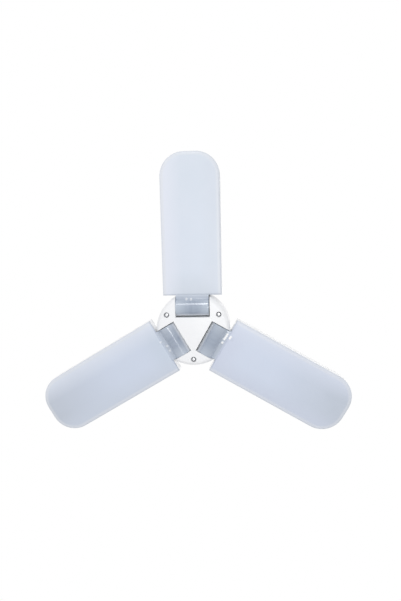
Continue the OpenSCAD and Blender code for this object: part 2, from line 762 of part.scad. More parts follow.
module thermal_pad() color("lightgray") translate([led_board_start, -led_board_w / 2, pad_z])
    cube([led_board_len, led_board_w, pad_t]);

module led_board() color("white") translate([led_board_start, -led_board_w / 2, led_board_z])
    cube([led_board_len, led_board_w, led_board_t]);

// Rows of light chips facing down; the first row leaves room for the lead's pads
module led_chips() color("khaki") for (row = [1 : led_rows - 1], col = [0 : led_cols - 1])
    translate([led_board_start + board_edge + (row + 0.5) * led_step,
        (col - (led_cols - 1) / 2) * led_board_w / led_cols, chip_z + chip_h / 2])
        cube([chip_w, chip_len, chip_h], center = true);

// Two stub pins pressed into the barrel's ends, turning in the hub's seats
module hinge_pins() color("gray") for (side = [-1, 1])
    translate([hinge_r, side * (pin_start + pin_end) / 2, hinge_z]) rotate([90, 0, 0])
        cylinder(r = pin_r, h = pin_end - pin_start, center = true);

screw_shell();
cap_insulator();
centre_contact();
driver_housing();
front_cover();
cover_screws();
driver_board();
smoothing_capacitor();
choke_coil();
bridge_rectifier();
driver_chip();
input_capacitor();
sense_resistors();
fuse_resistor();
live_lead();
neutral_lead();
for (n = BLADES) at_blade(n) {
    hub_lead();
    diffuser();
    heat_plate();
    thermal_pad();
    led_board();
    led_chips();
    plate_screws();
    hinge_pins();
    blade_lead();
}
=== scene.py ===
import math

import bmesh
import bpy
import numpy as np
from mathutils import Matrix, Vector


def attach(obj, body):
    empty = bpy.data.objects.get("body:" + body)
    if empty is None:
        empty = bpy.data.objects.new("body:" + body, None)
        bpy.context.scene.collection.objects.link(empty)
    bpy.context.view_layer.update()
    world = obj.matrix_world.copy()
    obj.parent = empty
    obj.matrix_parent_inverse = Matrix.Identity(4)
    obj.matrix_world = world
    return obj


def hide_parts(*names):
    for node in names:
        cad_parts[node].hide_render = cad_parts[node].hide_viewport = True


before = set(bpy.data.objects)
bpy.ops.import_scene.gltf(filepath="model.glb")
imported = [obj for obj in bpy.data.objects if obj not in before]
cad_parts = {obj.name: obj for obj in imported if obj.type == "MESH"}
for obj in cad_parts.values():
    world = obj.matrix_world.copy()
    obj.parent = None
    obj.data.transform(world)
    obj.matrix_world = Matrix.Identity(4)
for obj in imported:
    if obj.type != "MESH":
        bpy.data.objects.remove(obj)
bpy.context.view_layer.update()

# ---- Camera ------------------------------------------------------------------
# The lamp hangs from its cap and is seen from below, from the light's side. The viewpoint was found by
# fitting the blades' edges, tips and inner ends and the three screws, with the picture 401 x 601 pixels.

MM = 0.001
picture_height, focal_pixels, sensor_mm, near_clip = 601, 500, 36, 0.01
tilt_x, tilt_y, roll = (math.radians(a) for a in (6.625, -4.182, 1.383))
axis_shift = Vector((-4.958, -19.493, 0))
distance, light_z = 339.547, -39.395

# from the fit's frame (x right, y up the picture, z to the viewer) to the lamp's frame
to_lamp = Matrix(((1, 0, 0), (0, -1, 0), (0, 0, -1)))
tilt = Matrix.Rotation(tilt_x, 3, "X") @ Matrix.Rotation(tilt_y, 3, "Y") @ Matrix.Rotation(roll, 3, "Z")
eye = to_lamp @ (tilt.transposed() @ (Vector((0, 0, distance)) - axis_shift)) + Vector((0, 0, light_z))
camera = bpy.data.objects.new("camera", bpy.data.cameras.new("camera"))
camera.data.sensor_width = sensor_mm
camera.data.lens = focal_pixels / picture_height * sensor_mm
camera.data.clip_start = near_clip
camera.matrix_world = Matrix.Translation(eye * MM) @ (to_lamp @ tilt.transposed()).to_4x4()
bpy.context.scene.collection.objects.link(camera)
bpy.context.scene.camera = camera


# ---- Screw shell -------------------------------------------------------------
# The cap's shell: thin steel sheet, nickel plated, with the thread rolled into it, a plain collar crimped
# on to the plastic below and a lip rolled over the insulator above.

# points closer than same_point, in millimetres, count as one; the other two are in metres
same_point, doubled, sliver = 1e-6, 2e-6, 1e-7


def rounded(corners, cuts, steps=6, closed=True):
    """An outline whose corners c are cut back by cuts towards their neighbours, to p and q, and bridged by
    the curve (1-t)^2 p + 2t(1-t) c + t^2 q. An open line keeps its two ends."""
    c = np.asarray(corners, float)
    cuts = np.broadcast_to(np.asarray(cuts, float), len(c)).copy()
    if not closed:
        cuts[[0, -1]] = 0
    sides = []
    for step in (1, -1):
        way = np.roll(c, step, 0) - c
        length = np.linalg.norm(way, axis=1)
        sides.append(c + way * (np.minimum(cuts, length / 2) / length)[:, None])
    t = np.linspace(0, 1, steps)[None, :, None]
    p, q = (side[:, None] for side in sides)
    line = ((1 - t) ** 2 * p + 2 * t * (1 - t) * c[:, None] + t * t * q).reshape(-1, c.shape[1])
    return line[np.linalg.norm(line - np.roll(line, 1, 0), axis=1) > same_point]


def grid_faces(rows, columns, closed=True):
    """Four-sided faces between neighbours of a grid of points that closes round its columns, and, where
    closed, from its last row back to its first."""
    row = np.arange(rows if closed else rows - 1)[:, None] * columns
    column = np.arange(columns)[None, :]
    beside = (column + 1) % columns
    above = (row + columns) % (rows * columns)
    corners = [row + column, row + beside, above + beside, above + column]
    return np.stack(corners, -1).reshape(-1, 4).tolist()


def solid(name, points, faces):
    """A mesh object from points in millimetres. Points doubled at poles and seams are merged, and the faces
    are turned outwards."""
    mesh = bpy.data.meshes.new(name)
    mesh.from_pydata((np.asarray(points).reshape(-1, 3) * MM).tolist(), [], faces)
    shape = bmesh.new()
    shape.from_mesh(mesh)
    bmesh.ops.remove_doubles(shape, verts=shape.verts, dist=doubled)
    bmesh.ops.dissolve_degenerate(shape, edges=shape.edges, dist=sliver)
    bmesh.ops.delete(shape, geom=[edge for edge in shape.edges if edge.is_wire], context="EDGES")
    bmesh.ops.recalc_face_normals(shape, faces=shape.faces)
    shape.to_mesh(mesh)
    shape.free()
    piece = bpy.data.objects.new(name, mesh)
    bpy.context.scene.collection.objects.link(piece)
    return piece


def linear(code):
    """A linear RGBA colour from an sRGB hex code: c/12.92 below 0.04045, else ((c+0.055)/1.055)^2.4."""
    s = [int(code[i:i + 2], 16) / 255 for i in (1, 3, 5)]
    return [v / 12.92 if v <= 0.04045 else ((v + 0.055) / 1.055) ** 2.4 for v in s] + [1]


def add(tree, kind, sockets=(), **settings):
    """Adds a shader node of that kind with its settings. Sockets, by name or in their order, hold a value, a
    hex code, an output, or a node, which stands for its first output in use."""
    node = tree.nodes.new("ShaderNode" + kind)
    for key, value in settings.items():
        setattr(node, key, value)
    for key, value in sockets.items() if isinstance(sockets, dict) else enumerate(sockets):
        if isinstance(value, bpy.types.Node):
            value = next(output for output in value.outputs if output.enabled)
        if isinstance(value, bpy.types.NodeSocket):
            tree.links.new(value, node.inputs[key])
        else:
            node.inputs[key].default_value = linear(value) if isinstance(value, str) else value
    return node


def material(name):
    """A new material and its empty node tree."""
    made = bpy.data.materials.new(name)
    made.use_nodes = True
    made.node_tree.nodes.clear()
    return made, made.node_tree


def layered(tree, base, *layers):
    """Lays tones over a base. A layer is a tone, a value, its range, the tone's share at the two ends of that
    range, and the curve between them. Base and tone are hex codes or nodes."""
    for tone, value, span, shares, curve in layers:
        share = add(tree, "MapRange", [value, *span, *shares], interpolation_type=curve)
        base = add(tree, "Mix", {"Factor": share, "A": base, "B": tone}, data_type="RGBA")
    return base


def plan_distance(tree, place, spots, unit=1 / MM):
    """The distance in plan, in millimetres, from a place to the nearest of the spots. The place's own unit is
    that many millimetres long."""
    plan = add(tree, "VectorMath", [place, (unit, unit, 0)], operation="MULTIPLY")
    found = None
    for x, y in spots:
        away = add(tree, "VectorMath", [plan, (x, y, 0)], operation="DISTANCE")
        found = away if found is None else add(tree, "Math", [found, away], operation="MINIMUM")
    return found


def fit(piece, finish, body, slot, *nodes, sharp=35):
    """Gives the piece its material, smooth faces with edges sharper than that angle kept and its body, and
    hides the CAD nodes that it replaces. The slot is not used."""
    piece.data.materials.clear()
    piece.data.materials.append(finish)
    piece.data.shade_smooth()
    piece.data.set_sharp_from_angle(angle=math.radians(sharp))
    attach(piece, body)
    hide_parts(*nodes)


thread_r, thread_depth, sheet = 13.2, 0.95, 0.35
thread_turns, thread_pitch, rows_per_turn, columns = 4.5, 3.63, 24, 120
collar_h, lip_z, insulator_z = 4, 20.335, 22.535
dent_count, dent_z, dent_r, dent_depth = 8, 1.9, 0.75, 0.22
shell_mid_r = thread_r - thread_depth / 2

# the collar's rows lie closer at the dents, and its last two turn in to the thread
collar_rows = (0, 0.4, 0.8, 1.1, 1.4, 1.65, 1.9, 2.15, 2.4, 2.7, 3, 3.3, 3.5)
collar = np.array([[thread_r, z] for z in collar_rows] + [[13.12, 3.72], [12.9, 3.88]])
turns = np.linspace(0, thread_turns, int(thread_turns * rows_per_turn) + 1)
thread = np.stack([np.full(len(turns), shell_mid_r), collar_h + turns * thread_pitch], -1)
lip = rounded([[shell_mid_r, lip_z + 0.05], [12.68, 21.5], [11.3, 21.98], [9.65, insulator_z]],
              [0, 0.7, 0.5, 0], closed=False)
rows = np.concatenate([collar, thread, lip])

# the thread's wave is cos(turn - angle), faded in and out over half a turn at its ends
angle = np.arange(columns) * 2 * math.pi / columns
faded = np.clip(2 * np.minimum(turns, thread_turns - turns), 0, 1)[:, None]
swell = np.zeros((len(rows), columns))
swell[len(collar):len(collar) + len(turns)] = \
    thread_depth / 2 * np.cos(2 * math.pi * turns[:, None] - angle) * faded
# small round dents, dent_depth exp(-(distance / dent_r)^2), crimp the collar on to the plastic inside
around = (angle * dent_count / (2 * math.pi) + 0.5) % 1 - 0.5
away = np.hypot(around * 2 * math.pi * thread_r / dent_count, rows[:, 1:] - dent_z)
swell -= dent_depth * np.exp(-(away / dent_r) ** 2)

# the inner face lies one sheet's thickness inside, square to the rows' slope
slope = np.gradient(rows, axis=0)
slope /= np.linalg.norm(slope, axis=1, keepdims=True)
outer = np.stack([(rows[:, :1] + swell), rows[:, 1:] + 0 * swell], -1)
inner = outer - sheet * np.stack([slope[:, 1], -slope[:, 0]], -1)[:, None]
sheet_rows = np.concatenate([outer, inner[::-1]])
r, z = sheet_rows[..., 0], sheet_rows[..., 1]
screw_shell = solid("screw_shell_sheet", np.stack([r * np.cos(angle), r * np.sin(angle), z], -1),
                    grid_faces(len(sheet_rows), columns))

# a share's curve, and the ranges in which noise mostly lies and in which it shows as patches
soft, even = "SMOOTHSTEP", "LINEAR"
full, noise_range, patches = (0, 1), (0.3, 0.7), (0.35, 0.65)

# Nickel plate on rolled steel: it looks bright and slightly warm, with faint rolling marks round it; it is
# painted darker at the bottom of the thread, as painted shade in its grooves
nickel, tree = material("nickel_plate_rolled")
place = add(tree, "TexCoord").outputs["Object"]
rolling = add(tree, "Mapping", {"Vector": place, "Scale": (1, 1, 12)})
marks = add(tree, "TexNoise", {"Vector": rolling, "Scale": 1 / (3 * MM), "Detail": 4})
clouds = add(tree, "TexNoise", {"Vector": place, "Scale": 1 / (5 * MM)})
# painted shade: a darker tone towards the root of the thread
groove_shade_span = (thread_r - thread_depth, thread_r - 0.25)
colour = layered(tree, "#c4c1bb", ("#d8d5cf", clouds, full, (0, 1), even),
                 ("#8f8b85", plan_distance(tree, place, [(0, 0)]), groove_shade_span, (0.75, 0), soft))
add(tree, "OutputMaterial", [add(tree, "BsdfPrincipled", {
    "Metallic": 1, "Base Color": colour,
    "Roughness": add(tree, "MapRange", [marks, *noise_range, 0.17, 0.33]),
    "Normal": add(tree, "Bump", {"Height": marks, "Distance": 0.01 * MM})})])
fit(screw_shell, nickel, "hub", "nickel_plated_steel", "screw_shell")


# ---- Cap insulator -----------------------------------------------------------
# Black glass-filled moulding held under the shell's lip, which keeps the shell and the contact apart. Its
# CAD solid is right, so it only gets its finish.

def dressed(name, finish):
    """Gives a CAD node its material."""
    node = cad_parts[name]
    node.data.materials.clear()
    node.data.materials.append(finish)


# Glass-filled plastic from a polished mould: nearly black and glossy, with slight flow marks
glass, tree = material("black_insulator_moulded")
place = add(tree, "TexCoord").outputs["Object"]
flow = add(tree, "TexNoise", {"Vector": place, "Scale": 1 / (2.2 * MM), "Detail": 3})
add(tree, "OutputMaterial", [add(tree, "BsdfPrincipled", {
    "Base Color": layered(tree, "#151517", ("#29292c", flow, full, (0, 1), even)),
    "Roughness": add(tree, "MapRange", [flow, *noise_range, 0.16, 0.32]),
    "Normal": add(tree, "Bump", {"Height": flow, "Distance": 0.02 * MM})})])
dressed("cap_insulator", glass)


# ---- Centre contact ----------------------------------------------------------
# A brass rivet through the insulator. Its head is pressed into a low button, and the live lead's end is
# soldered into it, which leaves a bright blob in the middle.

def revolved(name, outline, steps=128):
    """A closed outline of (radius, height) turned round the lamp's axis: x = r cos a, y = r sin a."""
    r, z = (v[:, None] for v in np.asarray(outline, float).T)
    a = np.arange(steps) * 2 * math.pi / steps
    points = np.stack([r * np.cos(a), r * np.sin(a), z + 0 * a], -1)
    return solid(name, points, grid_faces(len(r), steps))


contact_z, contact_r, stem_r, contact_top = 25.535, 4.6, 1.3, 26.935
solder_edge = (1.7, 2.1)
button = rounded([[0, insulator_z], [stem_r, insulator_z], [stem_r, contact_z], [contact_r, contact_z],
                  [contact_r, contact_z + 0.4], [3.3, 26.6], [1.9, 26.62], [1.3, contact_top],
                  [0, contact_top]], [0, 0, 0, 0.1, 0.35, 0.5, 0.3, 0.5, 0])
contact = revolved("centre_contact_button", button, 64)

# Pressed brass, slightly tarnished, round a blob of bright solder
brass, tree = material("brass_pressed_soldered")
place = add(tree, "TexCoord").outputs["Object"]
tarnish = add(tree, "TexNoise", {"Vector": place, "Scale": 1 / (1.6 * MM), "Detail": 3})
colour = layered(tree, "#b8924a", ("#d8b66e", tarnish, full, (0, 1), even),
                 ("#c4c4c2", plan_distance(tree, place, [(0, 0)]), solder_edge, (1, 0), soft))
add(tree, "OutputMaterial", [add(tree, "BsdfPrincipled", {
    "Metallic": 1, "Base Color": colour,
    "Roughness": add(tree, "MapRange", [tarnish, *noise_range, 0.22, 0.4]),
    "Normal": add(tree, "Bump", {"Height": tarnish, "Distance": 0.02 * MM})})])
fit(contact, brass, "hub", "brass_contact", "centre_contact")


# ---- Driver housing ----------------------------------------------------------
# One white ABS moulding: spigot, neck, a bell that swells to the hub's ring, cooling slots, a skirt that
# holds the driver board, bent walls that seat the hinge pins and posts for the cover's screws.

def prism(name, outline, low, high):
    """A plane outline carried from height low to height high, with flat ends."""
    n = len(outline)
    points = np.concatenate([np.column_stack([outline, np.full(n, z)]) for z in (low, high)])
    return solid(name, points, grid_faces(2, n, closed=False) + [list(range(n)), list(range(n, 2 * n))])


def combine(piece, operation, *others):
    """Adds the others to the piece (UNION), cuts them out of it (DIFFERENCE) or keeps what they share
    (INTERSECT), and deletes them."""
    group = bpy.data.collections.new("operands")
    for other in others:
        group.objects.link(other)
    step = piece.modifiers.new("combine", "BOOLEAN")
    step.operation, step.solver = operation, "EXACT"
    step.operand_type, step.collection = "COLLECTION", group
    result = bpy.data.meshes.new_from_object(piece.evaluated_get(bpy.context.evaluated_depsgraph_get()))
    piece.modifiers.clear()
    piece.data = result
    for other in others:
        bpy.data.objects.remove(other)
    bpy.data.collections.remove(group)
    return piece


def turned(piece, degrees, sideways=(0, 0, 0)):
    """Moves the mesh sideways, in millimetres, and then turns it round the lamp's axis."""
    piece.data.transform(Matrix.Rotation(math.radians(degrees), 4, "Z")
                         @ Matrix.Translation(Vector(sideways) * MM))
    return piece


def cylinder(name, radius, low, high, steps=40):
    """A plain cylinder round the lamp's axis."""
    return revolved(name, [[0, low], [radius, low], [radius, high], [0, high]], steps)


def box(low, high):
    """A block from its lowest to its highest corner."""
    (x0, y0, z0), (x1, y1, z1) = low, high
    return prism("block", np.array([[x0, y0], [x1, y0], [x1, y1], [x0, y1]]), z0, z1)


# directions of the blades and of the wedges between them, in degrees from +X
blades = {1: 270, 2: 30, 3: 150}
wedges = (90, 210, 330)
wedge_half = math.radians(60)
wedge_ways = np.array([[math.cos(math.radians(way)), math.sin(math.radians(way))] for way in wedges])
hub_r, wall, hinge_z, neck_r, neck_h, flare_h = 25, 1.8, -36, 14.2, 8, 16
spigot_r, spigot_h, spigot_bore, seat_r, seat_h, seat_floor = 11.8, 14, 10, 12.75, 3, -1.8
window_r, window_half, slot_top = 8.4004, 11.6, -27.995
hinge_r, pin_r, pin_gap, pin_reach, pin_wall = 15.0004, 1.5, 0.05, 13.9, 2.6
screw_pitch_r, screw_r, post_r, hole_top = 20.4, 1, 2.9, -26.6
skirt_r, pocket_r, neck_bore, board_z, skirt_end = 13.8, 12.4, 11.2, -18, -20.2
vent_z, vent_len, vent_w, vent_step, vent_out = -18.24, 9, 2, 5, 28
# cuts run past the faces they open: out to the radius past_hub, and by past or a few times that elsewhere
past_hub, past, round_edge = 30, 1, 0.3


def flare(inset, steps=40):
    """The bell's wall from neck to hub: the radius swells by (1 - cos 180t) / 2 while the height falls."""
    t = np.linspace(0, 1, steps)
    return np.stack([neck_r - inset + (hub_r - neck_r) * (1 - np.cos(math.pi * t)) / 2,
                     -neck_h - flare_h * t - inset / 3], -1)


def wedge_walls(low, high):
    """The bent walls beside each wedge between two windows, which seat the pins, and the wedge's post. The
    walls reach past the wedge's sides, and the windows trim them."""
    along = past_hub * np.array([math.cos(wedge_half), math.sin(wedge_half)])
    near, far = ((window_half + extra) / math.sin(wedge_half) for extra in (-past, pin_wall))
    near, far, mirrored = np.array([near, 0]), np.array([far, 0]), along * [1, -1]
    outline = np.array([near, near + mirrored, far + mirrored, far, far + along, near + along])
    made = []
    for way in wedges:
        made.append(turned(prism("wall", outline, low, high), way))
        made.append(turned(cylinder("post", post_r, low - 0.1, high + 0.1), way, (screw_pitch_r, 0, 0)))
    return made


def windows(low, high):
    """The three windows of the knuckles, as blocks that open outwards."""
    return [turned(box((window_r, -window_half, low), (past_hub, window_half, high)), way)
            for way in blades.values()]


def pin_seats():
    """Bores round the hinge axes."""
    made = []
    for way in blades.values():
        bore = cylinder("bore", pin_r + pin_gap, -pin_reach, pin_reach)
        bore.data.transform(Matrix.Rotation(math.pi / 2, 4, "X"))
        made.append(turned(bore, way, (hinge_r, 0, hinge_z)))
    return made


neck_line = rounded([[0, spigot_h], [spigot_r, spigot_h], [spigot_r, seat_h], [seat_r, seat_h], [seat_r, 0],
                     [neck_r, 0], [neck_r, -neck_h]], [0, round_edge, 0, 0.2, 0, 0.6, 0], closed=False)
ring_line = rounded([[hub_r, -neck_h - flare_h - 0.4], [hub_r, hinge_z], [0, hinge_z]], [0, round_edge, 0],
                    closed=False)
housing = revolved("driver_housing_moulding", np.concatenate([neck_line, flare(0)[1:], ring_line]), 144)

inside = flare(wall)
inside = inside[inside[:, 0] > skirt_r + 0.2]
hollow = revolved("hollow", np.concatenate([
    [[0, skirt_end - past], [skirt_r, skirt_end - past]], inside,
    [[hub_r - wall, hinge_z - past], [0, hinge_z - past]]]), 144)
combine(hollow, "DIFFERENCE", *wedge_walls(hinge_z - 2 * past, -neck_h))
bore = revolved("bore", [
    [0, spigot_h + past], [spigot_bore, spigot_h + past], [spigot_bore, seat_floor], [neck_bore, seat_floor],
    [neck_bore, board_z], [pocket_r, board_z], [pocket_r, skirt_end - 1.5 * past],
    [0, skirt_end - 1.5 * past]], 96)

# a cooling slot is drawn upright, with round ends, and laid down to point outwards
standing_to_outwards = Matrix(((0, 0, 1, 0), (1, 0, 0, 0), (0, 1, 0, 0), (0, 0, 0, 1)))
half, reach = vent_w / 2, (vent_len - vent_w) / 2
a = np.linspace(0, math.pi, 13)
slot_end = np.stack([half * np.cos(a), half * np.sin(a) + reach], -1)
vents = []
for way in blades.values():
    for side in (-1, 0, 1):
        slot = prism("slot", np.concatenate([slot_end, -slot_end]), skirt_r + wall / 2, vent_out)
        slot.data.transform(standing_to_outwards)
        vents.append(turned(slot, way, (0, side * vent_step, vent_z)))
screw_holes = [turned(cylinder("hole", screw_r, hinge_z - 2 * past, hole_top, 24), way, (screw_pitch_r, 0, 0))
               for way in wedges]
combine(housing, "DIFFERENCE", hollow, bore, *vents, *windows(hinge_z - 3 * past, slot_top), *screw_holes,
        *pin_seats())

# White ABS from a finely sparked mould: cool white, satin, with a grain too fine to see but by its sheen
abs_white, tree = material("white_abs_moulded")
place = add(tree, "TexCoord").outputs["Object"]
clouds = add(tree, "TexNoise", {"Vector": place, "Scale": 1 / (9 * MM)})
grain = add(tree, "TexNoise", {"Vector": place, "Scale": 1 / (0.35 * MM)})
add(tree, "OutputMaterial", [add(tree, "BsdfPrincipled", {
    "Base Color": layered(tree, "#eff0f3", ("#f2f3f5", clouds, full, (0, 1), even)),
    "Roughness": add(tree, "MapRange", [grain, *noise_range, 0.3, 0.42]),
    "Normal": add(tree, "Bump", {"Height": grain, "Distance": 0.012 * MM})})])
fit(housing, abs_white, "hub", "white_plastic", "driver_housing")


# ---- Driver ------------------------------------------------------------------
# The round board in the neck and what is soldered to it. They are hidden in the finished lamp, and their
# CAD solids keep their shapes; each gets the finish of the real component.

def mottled(name, dark, light, size_mm, roughness, depth_mm):
    """A material with two close colours in lumps of size_mm, and a bump and sheen that follow them."""
    made, tree = material(name)
    place = add(tree, "TexCoord").outputs["Object"]
    lumps = add(tree, "TexNoise", {"Vector": place, "Scale": 1 / (size_mm * MM), "Detail": 3})
    add(tree, "OutputMaterial", [add(tree, "BsdfPrincipled", {
        "Base Color": layered(tree, dark, (light, lumps, patches, (0, 1), even)),
        "Roughness": add(tree, "MapRange", [lumps, *noise_range, roughness * 0.8, roughness * 1.2]),
        "Normal": add(tree, "Bump", {"Height": lumps, "Distance": depth_mm * MM})})])
    return made


# Glass-fibre board under green solder mask
dressed("driver_board", mottled("green_solder_mask", "#14502c", "#1d6137", 1.2, 0.35, 0.01))
# Shrunk PVC sleeve with slight wrinkles
dressed("smoothing_capacitor", mottled("black_pvc_sleeve", "#17171a", "#222227", 2.5, 0.3, 0.04))
# Varnished wire wound on ferrite
dressed("choke_coil", mottled("varnished_copper_wire", "#8a4b22", "#b86a33", 0.5, 0.35, 0.08))
# Matt moulded epoxy
package = mottled("black_epoxy_package", "#1a1a1c", "#242427", 0.3, 0.6, 0.01)
for name in ("bridge_rectifier", "driver_chip", "sense_resistors"):
    dressed(name, package)
# Film capacitor dipped in glossy resin
dressed("input_capacitor", mottled("red_dipped_resin", "#8c1f16", "#a32a1e", 1.5, 0.2, 0.03))
# Lacquered ceramic
dressed("fuse_resistor", mottled("tan_lacquered_ceramic", "#b89a6c", "#c9ad81", 0.8, 0.45, 0.02))


# ---- Leads -------------------------------------------------------------------
# Stranded copper in PVC: two thin ones to the cap, and one from the board to each hinge, where it meets,
# on the hinge's axis, the one that runs through the blade's neck to its light board.

def tube(name, route, radius, bend=1.6, sides=16):
    """A round tube along a route in millimetres with rounded corners. Each ring stands square to the path,
    on cross(path, fixed line) and cross(path, that), and the ends are flat."""
    path = rounded(route, bend, steps=7, closed=False)
    path = path[np.concatenate([[True], np.linalg.norm(np.diff(path, axis=0), axis=1) > same_point])]
    way = np.gradient(path, axis=0)
    way /= np.linalg.norm(way, axis=1, keepdims=True)
    across = np.cross(way, (0.36, 0.48, 0.8))
    across /= np.linalg.norm(across, axis=1, keepdims=True)
    beside = np.cross(way, across)
    a = (np.arange(sides) * 2 * math.pi / sides)[None, :, None]
    points = path[:, None] + radius * (np.cos(a) * across[:, None] + np.sin(a) * beside[:, None])
    last = (len(path) - 1) * sides
    caps = [list(range(sides)), list(range(last, last + sides))]
    return solid(name, points, grid_faces(len(path), sides, closed=False) + caps)


lead_r, thin_r, lead_y, blade_lead_y, pad_r, board_floor = 0.9, 0.63, 3, -4, 8.5, -19.2
board_start, led_board_z, lead_gap = 28.146, -31.895, 0.05
fuse_x, fuse_y, fuse_top, neutral_x, neutral_y, over_z = 2.6, -6.4, -8, -0.8, -9.2, 15.1

# Soft PVC or silicone over the strands: satin, in one even colour
red_silicone = mottled("red_silicone_sleeve", "#8f1d18", "#a6261f", 1, 0.5, 0.01)
black_pvc = mottled("black_pvc_lead", "#1b1b1d", "#28282b", 1, 0.4, 0.01)
white_pvc = mottled("white_pvc_lead", "#dcdcda", "#e8e8e6", 1.5, 0.4, 0.01)

live = tube("live_lead_tube", [[0, 0, insulator_z], [0, 0, 14], [0, -1.8, 7], [fuse_x, fuse_y, 0],
                               [fuse_x, fuse_y, fuse_top]], thin_r)
fit(live, red_silicone, "hub", "red_sleeve", "live_lead")
neutral = tube("neutral_lead_tube", [
    [neutral_x, neutral_y, board_z], [neutral_x, neutral_y, seat_floor], [0, -9, 1.8], [0, -9, over_z],
    [0, -11.6, over_z]], thin_r)
fit(neutral, black_pvc, "hub", "black_lead", "neutral_lead")
for n, way in blades.items():
    hub_lead = tube(f"hub_lead_tube_{n}", [
        [pad_r, lead_y, board_floor], [pad_r, lead_y, board_floor - 6], [hinge_r, lead_y, hinge_z + 6.2],
        [hinge_r, lead_y, hinge_z], [hinge_r, lead_gap, hinge_z]], lead_r)
    fit(turned(hub_lead, way), white_pvc, "hub", "white_lead", f"hub_lead_{n}")
    blade_lead = tube(f"blade_lead_tube_{n}", [
        [hinge_r, -lead_gap, hinge_z], [hinge_r, blade_lead_y, hinge_z], [board_start, blade_lead_y, hinge_z],
        [board_start + 1.8, blade_lead_y, -33.9], [board_start + 1.8, blade_lead_y, led_board_z]], lead_r)
    fit(turned(blade_lead, way), white_pvc, f"blade_{n}", "white_lead", f"blade_lead_{n}")


# ---- Front cover -------------------------------------------------------------
# A shallow white ABS cup over the housing's open end, with a window for each knuckle, a sunk hole for
# each screw and a low dome on the triangle between the windows.

face_z, cover_t, dome_h, dome_r, ridge_r = -42, 2, 0.6, 14.28, 15.5
bevel_w, bevel_h, hole_r, head_seat_z, shank_gap = 1.9, 2.9, 1.9, -40.1, 0.1
triangle_in, ridge_in, edge_w, edge_angle = window_r + 0.6, window_r - 1.2, 0.14, 50
inside_z = face_z + past

# the triangle's sides lie triangle_in from the axis, so its corners lie twice as far
corners = 2 * triangle_in * wedge_ways
# the dome is the cap of a wide sphere: it falls from its middle by h (r / R)^2
r = np.linspace(0, dome_r + past, 28)
cap = np.stack([r, face_z - dome_h * (1 - (r / dome_r) ** 2)], -1)
dome = revolved("dome", np.concatenate([cap, [[r[-1], inside_z], [0, inside_z]]]), 96)
combine(dome, "INTERSECT", prism("triangle", corners, face_z - past, inside_z + past / 2))
hollow = cylinder("hollow", hub_r - wall, face_z + cover_t, hinge_z + past, 144)
ridge = prism("ridge", corners, inside_z, hinge_z - 0.4)
combine(ridge, "DIFFERENCE", prism("core", corners * ridge_in / triangle_in, face_z, hinge_z))
combine(ridge, "INTERSECT", cylinder("limit", ridge_r, face_z, hinge_z, 96))
combine(hollow, "DIFFERENCE", ridge, *wedge_walls(inside_z, hinge_z + 2 * past))
shank_hole = screw_r + shank_gap
sunk_outline = [[0, face_z - 2 * past], [hole_r, face_z - 2 * past], [hole_r, head_seat_z],
                [shank_hole, head_seat_z], [shank_hole, hinge_z + past], [0, hinge_z + past]]
sunk = [turned(revolved("sunk", sunk_outline, 40), way, (screw_pitch_r, 0, 0)) for way in wedges]
cup = rounded([[0, face_z], [hub_r - bevel_w, face_z], [hub_r, face_z + bevel_h], [hub_r, hinge_z],
               [0, hinge_z]], [0, 1.1, 1.2, round_edge, 0], closed=False)
cover = revolved("front_cover_moulding", cup, 144)
combine(cover, "UNION", dome)
combine(cover, "DIFFERENCE", hollow, *windows(face_z - 2 * past, hinge_z + past), *sunk, *pin_seats())

# the cuts leave a few slits beside the screw holes, thinner than this many metres: they are merged or filled
slit = 3e-6
shape = bmesh.new()
shape.from_mesh(cover.data)
bmesh.ops.remove_doubles(shape, verts=shape.verts, dist=slit)
bmesh.ops.holes_fill(shape, edges=[line for line in shape.edges if line.is_boundary], sides=0)
bmesh.ops.recalc_face_normals(shape, faces=shape.faces)
shape.to_mesh(cover.data)
shape.free()
edge = cover.modifiers.new("edge", "BEVEL")
edge.width, edge.segments = edge_w * MM, 2
edge.limit_method, edge.angle_limit = "ANGLE", math.radians(edge_angle)
fit(cover, abs_white, "hub", "white_plastic", "front_cover")


# ---- Screws ------------------------------------------------------------------
# Small pan-head screws with a cross recess, zinc-plated steel: three in the cover's sunk holes, and four
# in the back plate of each blade. The hinge pins are of the same steel.

def pan_screw(shank_r, shank_len, head_r, head_h):
    """A screw standing on its head at the origin. The head's edge falls in a quarter round from its full
    radius to 0.35 of it, and its recess is a cross."""
    a = np.linspace(0, math.pi / 2, 9)
    crown = np.stack([head_r * (0.35 + 0.65 * np.cos(a)), -head_h * (0.3 + 0.7 * np.sin(a))], -1)
    shank = [[0, shank_len], [shank_r * 0.3, shank_len], [shank_r, shank_len - shank_r], [shank_r, 0]]
    screw = revolved("screw", np.concatenate([shank, [[head_r, 0]], crown, [[0, -head_h]]]), 48)
    half, thick, deep = 0.55 * head_r, 0.15 * head_r, 0.55 * head_h
    for way in (0, 90):
        slot = prism("slot", np.array([[-half, -thick], [half, -thick], [half, thick], [-half, thick]]),
                     -head_h - 0.3, -head_h + deep)
        combine(screw, "DIFFERENCE", turned(slot, way))
    return screw


def copied(piece, name, matrices):
    """One object that holds the piece's mesh at each matrix; the piece is deleted."""
    shape = bmesh.new()
    for matrix in matrices:
        mesh = piece.data.copy()
        mesh.transform(matrix)
        shape.from_mesh(mesh)
        bpy.data.meshes.remove(mesh)
    mesh = bpy.data.meshes.new(name)
    shape.to_mesh(mesh)
    shape.free()
    bpy.data.objects.remove(piece)
    made = bpy.data.objects.new(name, mesh)
    bpy.context.scene.collection.objects.link(made)
    return made


def at(way, spot, turn, over=0):
    """The matrix that turns a screw, tips it over, puts it at the spot and swings that by way degrees."""
    return Matrix.Rotation(math.radians(way), 4, "Z") @ Matrix.Translation(Vector(spot) * MM) \
        @ Matrix.Rotation(over, 4, "X") @ Matrix.Rotation(turn, 4, "Z")
